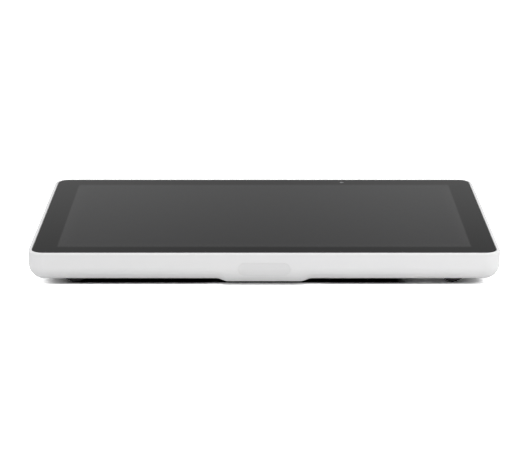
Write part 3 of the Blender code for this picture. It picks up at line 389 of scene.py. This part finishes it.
def centre_and_size(node):
    """The middle and the size of a CAD node in X and Z."""
    low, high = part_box(node)
    return ((low.x + high.x) / 2, (low.z + high.z) / 2), (high.x - low.x, high.z - low.z)


for node in ("usb_a_port_inner", "usb_a_port_outer"):
    low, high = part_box(node)
    combine(housing, block("socket_hole", (low.x - socket_gap, rear_cut[0], low.z - socket_gap),
                           (high.x + socket_gap, rear_cut[1], high.z + socket_gap)))
centre, size = centre_and_size("usb_c_port")
combine(housing, pill("hole", centre, size[0] + 2 * socket_gap, size[1] + 2 * socket_gap, *rear_cut, 8))
combine(housing, pill("hole", centre_and_size("power_button")[0], *button_hole, *rear_cut, 8))
combine(housing, pill("hole", centre_and_size("power_jack")[0], *jack_hole, *rear_cut, 12))

sensor_gap = 0.08 * MM
sensor_front = -half_depth - 2 * MM
window_depth = 6.75 * MM
sensor_centre, sensor_size = centre_and_size("fingerprint_sensor")
window_size = (sensor_size[0] + 2 * sensor_gap, sensor_size[1] + 2 * sensor_gap)
window_cut = (sensor_front, -half_depth + window_depth)
combine(housing, pill("window", sensor_centre, *window_size, *window_cut, 24))
finish_surface(housing)
white_plastic = moulded_plastic("white_plastic", (0.80, 0.80, 0.80), (0.785, 0.785, 0.79), 0.42)
coat(housing, white_plastic)
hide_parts("housing")
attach(housing, "terminal")


# ---------------------------------------------------------------------------------------------------
# Cover glass: one sheet of toughened glass, 1.8 mm thick, bonded into the housing. It is printed black
# behind the borders, and the switched-off display shows through it as a slightly lighter field, with
# painted light making the field up to 1.25 times lighter near its edges.
# ---------------------------------------------------------------------------------------------------
glass_low, glass_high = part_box("cover_glass")
glass_inset = (half_width - glass_high.x, half_depth - glass_high.y)
glass_corner = 9.1 * MM
front_round = 0.7 * MM
back_round = 0.1 * MM
glass = plate("glass_front", *glass_inset, glass_corner, glass_low.z, glass_high.z, 16)
round_edges(glass, at_height(glass_high.z), front_round, 5)
round_edges(glass, at_height(glass_low.z), back_round, 2)
finish_surface(glass)

active_half = 154.95 * MM
active_front = -88.4 * MM
active_rear = 85.9 * MM
field_blur = 0.15 * MM
# Painted light: the display field is made up to 1.25 times lighter within 12 mm of its edges.
painted_light_width = 12 * MM
glow = 1.25
eye_centre = (65.8 * MM, 94.4 * MM)
eye_radius = (1.5 * MM, 1.9 * MM)
print_black = (0.002, 0.002, 0.0022)
display_grey = (0.026, 0.026, 0.0268)
eye_grey = (0.17, 0.17, 0.18)
polish = 0.02


def wipe_marks():
    """Faint streaks and smears that a cloth leaves on a smooth face: a mask and a roughness."""
    group, start, end = add_group("Wipe marks", [
        ("Roughness", "NodeSocketFloat", 0.03), ("Strength", "NodeSocketFloat", 0.02),
        ("Size", "NodeSocketFloat", 9.0)],
        [("Mask", "NodeSocketFloat"), ("Roughness", "NodeSocketFloat")])
    place = add_node(group, "ShaderNodeTexCoord", (-900, -200))
    stretch = add_node(group, "ShaderNodeMapping", (-720, -200))
    stretch.inputs["Rotation"].default_value = (0, 0, math.radians(24))
    stretch.inputs["Scale"].default_value = (1.0, 3.4, 1.0)
    smear = add_node(group, "ShaderNodeTexNoise", (-520, -200))
    smear.inputs["Detail"].default_value = 7.0
    smear.inputs["Distortion"].default_value = 0.6
    band = add_node(group, "ShaderNodeMapRange", (-300, -200))
    band.inputs["From Min"].default_value = 0.42
    band.inputs["From Max"].default_value = 0.75
    scale = add_node(group, "ShaderNodeMath", (0, 0), operation="MULTIPLY_ADD")
    group.links.new(place.outputs["Object"], stretch.inputs["Vector"])
    group.links.new(stretch.outputs["Vector"], smear.inputs["Vector"])
    group.links.new(start.outputs["Size"], smear.inputs["Scale"])
    group.links.new(smear.outputs["Fac"], band.inputs["Value"])
    group.links.new(band.outputs["Result"], scale.inputs[0])
    group.links.new(start.outputs["Strength"], scale.inputs[1])
    group.links.new(start.outputs["Roughness"], scale.inputs[2])
    group.links.new(band.outputs["Result"], end.inputs["Mask"])
    group.links.new(scale.outputs[0], end.inputs["Roughness"])
    return group


marks = wipe_marks()


def maths(tree, kind, place, *values):
    """A Math node fed by numbers or by the sockets of other nodes."""
    node = add_node(tree, "ShaderNodeMath", place, operation=kind)
    for socket, value in zip(node.inputs, values):
        if isinstance(value, (int, float)):
            socket.default_value = value
        else:
            tree.links.new(value, socket)
    return node.outputs[0]


def ramp(tree, place, value, low, high, to_low=0.0, to_high=1.0):
    """A smooth change from one value to another between two levels."""
    node = add_node(tree, "ShaderNodeMapRange", place, interpolation_type="SMOOTHSTEP")
    for label, number in (("From Min", low), ("From Max", high), ("To Min", to_low), ("To Max", to_high)):
        node.inputs[label].default_value = number
    tree.links.new(value, node.inputs["Value"])
    return node.outputs["Result"]


black_glass, glass_surface = shader("black_glass", print_black, polish)
tree = black_glass.node_tree
coords = add_node(tree, "ShaderNodeTexCoord", (-1500, 0))
parts = add_node(tree, "ShaderNodeSeparateXYZ", (-1300, 0))
tree.links.new(coords.outputs["Object"], parts.inputs[0])
from_middle = maths(tree, "ABSOLUTE", (-1150, 200), parts.outputs["X"])
from_side = maths(tree, "SUBTRACT", (-1000, 200), active_half, from_middle)
from_front = maths(tree, "SUBTRACT", (-1000, 0), parts.outputs["Y"], active_front)
from_rear = maths(tree, "SUBTRACT", (-1000, -200), active_rear, parts.outputs["Y"])
inside = maths(tree, "MINIMUM", (-800, -100), from_front, from_rear)
inside = maths(tree, "MINIMUM", (-800, 100), from_side, inside)
lit = ramp(tree, (-600, 100), inside, -field_blur, field_blur)
# Painted light: the field brightens towards its edges.
painted_edge_light = ramp(tree, (-600, -150), inside, 0.0, painted_light_width, glow, 1.0)
field = maths(tree, "MULTIPLY", (-400, 0), lit, painted_edge_light)
off_x = maths(tree, "SUBTRACT", (-1000, -420), parts.outputs["X"], eye_centre[0])
off_y = maths(tree, "SUBTRACT", (-1000, -560), parts.outputs["Y"], eye_centre[1])
off_x = maths(tree, "MULTIPLY", (-870, -420), off_x, off_x)
off_y = maths(tree, "MULTIPLY", (-870, -560), off_y, off_y)
apart = maths(tree, "SQRT", (-600, -480), maths(tree, "ADD", (-750, -480), off_x, off_y))
eye = ramp(tree, (-420, -480), apart, *eye_radius, 1.0, 0.0)
display = add_node(tree, "ShaderNodeMix", (-200, 150), data_type="RGBA")
display.inputs["A"].default_value = (*print_black, 1)
display.inputs["B"].default_value = (*display_grey, 1)
display.clamp_factor = False
tree.links.new(field, display.inputs["Factor"])
with_eye = add_node(tree, "ShaderNodeMix", (0, 150), data_type="RGBA")
with_eye.inputs["B"].default_value = (*eye_grey, 1)
tree.links.new(eye, with_eye.inputs["Factor"])
tree.links.new(display.outputs["Result"], with_eye.inputs["A"])
tree.links.new(with_eye.outputs["Result"], glass_surface.inputs["Base Color"])
cloth = add_node(tree, "ShaderNodeGroup", (-200, -200), node_tree=marks)
cloth.inputs["Roughness"].default_value = polish
cloth.inputs["Strength"].default_value = 0.03
tree.links.new(cloth.outputs["Roughness"], glass_surface.inputs["Roughness"])
coat(glass, black_glass)
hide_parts("cover_glass")
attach(glass, "terminal")


# ---------------------------------------------------------------------------------------------------
# Fingerprint sensor: a pill of slightly greyer plastic set flush in the front wall, following the wall's
# curve at its lower edge. It drops in from outside and is held by its board.
# ---------------------------------------------------------------------------------------------------
sensor_depth = 6.25 * MM
sensor = pill("sensor_pill", sensor_centre, *sensor_size, sensor_front, -half_depth + sensor_depth, 24)
combine(sensor, body_form("form"), "INTERSECT")
finish_surface(sensor)
sensor_plastic = moulded_plastic("sensor_plastic", (0.745, 0.745, 0.745), (0.735, 0.735, 0.74), 0.36,
                                 depth=0.003)
coat(sensor, sensor_plastic)
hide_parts("fingerprint_sensor")
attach(sensor, "terminal")


# ---------------------------------------------------------------------------------------------------
# Feet: four turned rubber feet, a short cylinder over a cone with a small flat tip. Each sits in a round
# recess in the bottom cover and is glued there.
# ---------------------------------------------------------------------------------------------------
foot_radius = 8.25 * MM
foot_tip = 2.9 * MM
foot_cone = 3.0 * MM
tip_round = 0.35 * MM
shoulder_round = 0.5 * MM
rubber = moulded_plastic("black_rubber", (0.015, 0.015, 0.0155), (0.022, 0.022, 0.022), 0.75, 1800.0,
                         0.01, 0.12)


def turned_foot(name, node):
    """One foot, drawn up from its round tip."""
    low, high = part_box(node)
    x, y = (low.x + high.x) / 2, (low.y + high.y) / 2
    bpy.ops.object.select_all(action="DESELECT")
    bpy.ops.mesh.primitive_circle_add(vertices=64, radius=foot_tip, fill_type="NGON", location=(x, y, 0))
    piece = bpy.context.object
    piece.name = name
    bpy.ops.object.mode_set(mode="EDIT")
    bpy.ops.mesh.select_all(action="SELECT")
    bpy.ops.mesh.extrude_region_move(TRANSFORM_OT_translate={"value": (0, 0, foot_cone)})
    share = foot_radius / foot_tip
    bpy.ops.transform.resize(value=(share, share, 1))
    bpy.ops.mesh.extrude_region_move(TRANSFORM_OT_translate={"value": (0, 0, high.z - foot_cone)})
    bpy.ops.object.mode_set(mode="OBJECT")
    bpy.ops.object.transform_apply(location=True, rotation=True, scale=True)
    round_edges(piece, at_height(0), tip_round, 3)
    round_edges(piece, at_height(foot_cone), shoulder_round, 4)
    alone(piece)
    bpy.ops.object.mode_set(mode="EDIT")
    bpy.ops.mesh.select_all(action="SELECT")
    bpy.ops.mesh.normals_make_consistent(inside=False)
    bpy.ops.object.mode_set(mode="OBJECT")
    finish_surface(piece, 50)
    coat(piece, rubber)
    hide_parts(node)
    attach(piece, "terminal")


for corner in ("front_left", "front_right", "rear_left", "rear_right"):
    turned_foot("rubber_foot_" + corner, "foot_" + corner)


# ---------------------------------------------------------------------------------------------------
# Bottom cover: one charcoal moulding with vents, speaker grilles and the recess for the stand leg.
# Six screws hold it up in the housing's opening.
# ---------------------------------------------------------------------------------------------------
def repaint(finish, *names):
    """Give CAD nodes one material."""
    for name in names:
        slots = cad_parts[name].material_slots
        if not slots:
            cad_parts[name].data.materials.append(finish)
        for place in slots:
            place.material = finish


def eased_copy(node, name, width, steps=2):
    """A merged copy of a CAD node with its sharp edges eased."""
    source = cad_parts[node]
    piece = bpy.data.objects.new(name, source.data.copy())
    bpy.context.scene.collection.objects.link(piece)
    alone(piece)
    bpy.ops.object.mode_set(mode="EDIT")
    bpy.ops.mesh.select_all(action="SELECT")
    bpy.ops.mesh.remove_doubles(threshold=0.002 * MM)
    bpy.ops.mesh.dissolve_limited(angle_limit=math.radians(1))
    bpy.ops.object.mode_set(mode="OBJECT")
    ease = piece.modifiers.new("Eased edges", "BEVEL")
    ease.width = width
    ease.segments = steps
    ease.limit_method = "ANGLE"
    ease.angle_limit = math.radians(35)
    bpy.ops.object.modifier_apply(modifier=ease.name)
    finish_surface(piece)
    return piece


cover = eased_copy("bottom_cover", "base_cover", 0.2 * MM)
charcoal = moulded_plastic("charcoal_plastic", (0.035, 0.036, 0.038), (0.042, 0.043, 0.045), 0.55, 1500.0,
                           0.02, 0.1)
coat(cover, charcoal)
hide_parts("bottom_cover")
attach(cover, "terminal")


# ---------------------------------------------------------------------------------------------------
# Stand leg: a wide charcoal flap, moulded with its two hinge eyes. It folds flat into the bottom
# cover's recess and swings down behind on two steel pins.
# ---------------------------------------------------------------------------------------------------
leg = eased_copy("stand_leg", "kickstand", 0.4 * MM, 3)
coat(leg, charcoal)
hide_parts("stand_leg")
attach(leg, "stand")

# ---------------------------------------------------------------------------------------------------
# Stand pad: a strip of black rubber glued along the leg's free edge, where it meets the counter.
# ---------------------------------------------------------------------------------------------------
repaint(rubber, "stand_pad")


# ---------------------------------------------------------------------------------------------------
# Hinges: two folded steel brackets with plain steel pins and a black friction washer each. Each
# bracket is screwed to the bottom cover inside the body.
# ---------------------------------------------------------------------------------------------------
def metal(name, colour, roughness, marks_size=40.0):
    """Bare metal with faint marks in its polish."""
    finish, surface = shader(name, colour, roughness, 1.0)
    tree = finish.node_tree
    wipes = add_node(tree, "ShaderNodeGroup", (-400, 0), node_tree=marks)
    wipes.inputs["Roughness"].default_value = roughness
    wipes.inputs["Strength"].default_value = 0.15
    wipes.inputs["Size"].default_value = marks_size
    tree.links.new(wipes.outputs["Roughness"], surface.inputs["Roughness"])
    return finish


steel = metal("steel", (0.55, 0.55, 0.56), 0.28)
black_plastic = moulded_plastic("black_plastic", (0.02, 0.02, 0.021), (0.026, 0.026, 0.027), 0.5, 1500.0,
                                0.01)
for side in ("left", "right"):
    repaint(steel, "hinge_bracket_" + side, "hinge_pin_" + side)
    repaint(black_plastic, "hinge_washer_" + side)

# ---------------------------------------------------------------------------------------------------
# Screws: plated steel pan heads in the bottom cover, the brackets, the board and the inner frame.
# ---------------------------------------------------------------------------------------------------
screw_plating = metal("screw_plating", (0.42, 0.42, 0.43), 0.34, 160.0)
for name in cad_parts:
    if "screw" in name:
        repaint(screw_plating, name)

# ---------------------------------------------------------------------------------------------------
# Power button: a small white pill in the rear wall, moulded in the housing's plastic. It slides in
# its hole and pushes on a switch.
# ---------------------------------------------------------------------------------------------------
button = eased_copy("power_button", "button_cap", 0.35 * MM, 3)
coat(button, white_plastic)
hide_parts("power_button")
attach(button, "power_button")

# ---------------------------------------------------------------------------------------------------
# Sockets and switch: two stamped steel USB-A shells and a USB-C shell, a black round power jack and
# the button's switch, all soldered to the main board's rear edge.
# ---------------------------------------------------------------------------------------------------
repaint(steel, "usb_a_port_inner", "usb_a_port_outer", "usb_c_port")
repaint(black_plastic, "power_jack", "power_switch")

# ---------------------------------------------------------------------------------------------------
# Display: a dark panel over its white backlight, held in a cast aluminium frame. Black foam tape
# bonds the cover glass above them.
# ---------------------------------------------------------------------------------------------------
panel = moulded_plastic("display_panel", (0.03, 0.03, 0.035), (0.025, 0.025, 0.03), 0.2, 900.0, 0.001)
diffuser = moulded_plastic("diffuser", (0.85, 0.86, 0.88), (0.8, 0.82, 0.84), 0.6, 900.0, 0.01)
tape = moulded_plastic("foam_tape", (0.02, 0.02, 0.02), (0.03, 0.03, 0.03), 0.9, 900.0, 0.05)
aluminium = metal("aluminium", (0.70, 0.71, 0.72), 0.4)
repaint(panel, "lcd_panel")
repaint(diffuser, "backlight_unit")
repaint(tape, "glass_tape")
repaint(aluminium, "mid_frame")

# ---------------------------------------------------------------------------------------------------
# Circuit boards: the green main board with its steel shield can, coin cell and aluminium heat
# spreader, and the small board behind the fingerprint sensor.
# ---------------------------------------------------------------------------------------------------
circuit = moulded_plastic("circuit_board", (0.02, 0.12, 0.05), (0.015, 0.09, 0.04), 0.45, 400.0, 0.01)
repaint(circuit, "main_board", "fingerprint_board")
repaint(steel, "shield_can", "coin_cell")
repaint(aluminium, "heat_spreader")

# ---------------------------------------------------------------------------------------------------
# Flat cables and antennas: thin amber film, glued or clipped at both ends.
# ---------------------------------------------------------------------------------------------------
flex = moulded_plastic("flex_cable", (0.35, 0.2, 0.05), (0.3, 0.16, 0.04), 0.5, 700.0, 0.01)
repaint(flex, "display_cable", "fingerprint_cable", "wifi_antenna_left", "wifi_antenna_right")

# ---------------------------------------------------------------------------------------------------
# Speakers and camera: black boxes behind the bottom cover's grilles, and a camera module with its
# dark lens behind the glass.
# ---------------------------------------------------------------------------------------------------
repaint(black_plastic, "speaker_left", "speaker_right", "camera_module")
repaint(panel, "camera_lens")

# ---------------------------------------------------------------------------------------------------
# Floor: plain pale paper, white to the camera. A painted shadow makes it dark where the body stands over
# it. It is clear from below, and light passes it under the body, so that the underside can be looked at.
# ---------------------------------------------------------------------------------------------------
bpy.ops.object.select_all(action="DESELECT")
bpy.ops.mesh.primitive_plane_add(size=16, location=(0, 0, -0.02 * MM))
floor = bpy.context.object
floor.name = "floor"
paper_grey = (0.80, 0.80, 0.80)
paper_white = (3.0, 3.0, 3.0)
# The grey of the painted shadow under the body.
painted_shadow_grey = (0.02, 0.02, 0.02)
paper, surface = shader("studio_floor", paper_grey, 1.0)
tree = paper.node_tree
tree.nodes.remove(surface)
output = tree.nodes["Material Output"]
seen = add_node(tree, "ShaderNodeLightPath", (-600, 200))
tone = add_node(tree, "ShaderNodeMix", (-300, 100), data_type="RGBA")
tone.inputs["A"].default_value = (*paper_grey, 1)
tone.inputs["B"].default_value = (*paper_white, 1)
tree.links.new(seen.outputs["Is Camera Ray"], tone.inputs["Factor"])
coords = add_node(tree, "ShaderNodeTexCoord", (-1500, -200))
parts = add_node(tree, "ShaderNodeSeparateXYZ", (-1300, -200))
tree.links.new(coords.outputs["Object"], parts.inputs[0])
# Painted shadow: a soft-edged rectangle under the body, set 19 mm off centre, darkens the paper to near
# black.
shadow_offset = 19 * MM
across = maths(tree, "ADD", (-1150, -100), parts.outputs["X"], shadow_offset)
across = maths(tree, "ABSOLUTE", (-1000, -100), across)
deep = maths(tree, "ABSOLUTE", (-1000, -300), parts.outputs["Y"])
painted_shadow_x = ramp(tree, (-750, -100), across, 118 * MM, 138 * MM, 1.0, 0.0)
painted_shadow_y = ramp(tree, (-750, -350), deep, 88 * MM, 92 * MM, 1.0, 0.0)
under = maths(tree, "MULTIPLY", (-500, -200), painted_shadow_x, painted_shadow_y)
painted_shadow_mix = add_node(tree, "ShaderNodeMix", (-200, 0), data_type="RGBA")
painted_shadow_mix.inputs["B"].default_value = (*painted_shadow_grey, 1)
tree.links.new(under, painted_shadow_mix.inputs["Factor"])
tree.links.new(tone.outputs["Result"], painted_shadow_mix.inputs["A"])
matt = add_node(tree, "ShaderNodeBsdfDiffuse", (-50, 100))
tree.links.new(painted_shadow_mix.outputs["Result"], matt.inputs["Color"])
facing = add_node(tree, "ShaderNodeNewGeometry", (-600, -600))
wide = maths(tree, "ABSOLUTE", (-700, -500), parts.outputs["X"])
clear_x = ramp(tree, (-500, -500), wide, 135 * MM, 155 * MM, 1.0, 0.0)
clear_y = ramp(tree, (-500, -650), deep, 60 * MM, 78 * MM, 1.0, 0.0)
inner = maths(tree, "MULTIPLY", (-300, -500), clear_x, clear_y)
unseen = maths(tree, "SUBTRACT", (-300, -350), 1.0, seen.outputs["Is Camera Ray"])
hidden = maths(tree, "MULTIPLY", (-150, -450), inner, unseen)
clear = maths(tree, "MAXIMUM", (0, -300), facing.outputs["Backfacing"], hidden)
glassy = add_node(tree, "ShaderNodeBsdfTransparent", (0, -100))
mix = add_node(tree, "ShaderNodeMixShader", (200, 50))
tree.links.new(clear, mix.inputs["Fac"])
tree.links.new(matt.outputs["BSDF"], mix.inputs[1])
tree.links.new(glassy.outputs["BSDF"], mix.inputs[2])
tree.links.new(mix.outputs["Shader"], output.inputs["Surface"])
coat(floor, paper)


# ---------------------------------------------------------------------------------------------------
# Lights: a soft key from above the front, a weak panel low on each side, and a studio round them
# that is dark in front, so the black glass mirrors a plain grey gradient.
# ---------------------------------------------------------------------------------------------------
def panel_light(name, place, target, size, power):
    """A rectangular lamp aimed at a point. It lights the pieces but isn't mirrored in the glass."""
    data = bpy.data.lights.new(name, "AREA")
    data.shape = "RECTANGLE"
    data.size, data.size_y = size
    data.energy = power
    lamp = bpy.data.objects.new(name, data)
    lamp.location = place
    lamp.rotation_euler = (Vector(target) - Vector(place)).to_track_quat("-Z", "Y").to_euler()
    lamp.visible_glossy = False
    bpy.context.scene.collection.objects.link(lamp)


sun_height = 42
sun_data = bpy.data.lights.new("key", "SUN")
sun_data.energy = 0.97
sun_data.angle = math.radians(3)
sun = bpy.data.objects.new("key", sun_data)
sun.rotation_euler = (math.radians(90 - sun_height), 0, 0)
bpy.context.scene.collection.objects.link(sun)
panel_light("front_fill", (0.45, -0.55, 0.5), (0.15, 0, 0), (0.3, 0.3), 1.5)
panel_light("left_fill", (-0.8, -0.35, 0.3), (-0.15, 0, 0), (0.25, 0.5), 1.0)
panel_light("right_fill", (0.95, 0, 0.3), (0.15, 0, 0), (0.25, 0.5), 1.0)
world = bpy.data.worlds.new("studio")
world.use_nodes = True
tree = world.node_tree
sky = tree.nodes["Background"]
sky.inputs["Color"].default_value = (1, 1, 1, 1)
coords = add_node(tree, "ShaderNodeTexCoord", (-1200, 0))
parts = add_node(tree, "ShaderNodeSeparateXYZ", (-1000, 0))
tree.links.new(coords.outputs["Generated"], parts.inputs[0])
from_middle = maths(tree, "ABSOLUTE", (-850, -700), parts.outputs["X"])
band = ramp(tree, (-700, 200), parts.outputs["Z"], 0.245, 0.315, 0.36, 0.20)
aside = ramp(tree, (-700, -700), from_middle, 0.0, 0.12, 0.84, 1.0)
behind = ramp(tree, (-700, -400), parts.outputs["Y"], -0.3, 0.3, 0.1, 1.0)
high = ramp(tree, (-700, -100), parts.outputs["Z"], 0.35, 0.8, 0.0, 1.15)
rearward = ramp(tree, (-700, -250), parts.outputs["Y"], -0.4, 0.4, 0.5, 1.2)
below = ramp(tree, (-700, -900), parts.outputs["Z"], -0.12, -0.02, 0.6, 0.0)
band = maths(tree, "MULTIPLY", (-550, 350), band, aside)
band = maths(tree, "MULTIPLY", (-500, 200), band, behind)
high = maths(tree, "MULTIPLY", (-550, -150), high, rearward)
ray = add_node(tree, "ShaderNodeLightPath", (-850, -1100))
mirrored = ramp(tree, (-700, -1100), ray.outputs["Is Glossy Ray"], 0.0, 1.0, 1.0, 0.3)
high = maths(tree, "MULTIPLY", (-450, -300), high, mirrored)
glow = maths(tree, "ADD", (-400, 0), band, high)
glow = maths(tree, "ADD", (-250, -100), glow, below)
tree.links.new(glow, sky.inputs["Strength"])
bpy.context.scene.world = world

# ---------------------------------------------------------------------------------------------------
# Camera: level, in front of the terminal and a little above it, looking down at its front edge.
# ---------------------------------------------------------------------------------------------------
camera_pitch = 16.65
camera_data = bpy.data.cameras.new("camera")
camera_data.sensor_width = 36
camera_data.lens = 124.13
camera_data.clip_end = 60
camera_data.shift_x = 0.0091
camera = bpy.data.objects.new("camera", camera_data)
camera.location = (-2.99 * MM, -1394.8 * MM, 433.7 * MM)
camera.rotation_euler = (math.radians(90 - camera_pitch), 0, 0)
bpy.context.scene.collection.objects.link(camera)
bpy.context.scene.camera = camera
bpy.context.scene.view_settings.view_transform = "Standard"
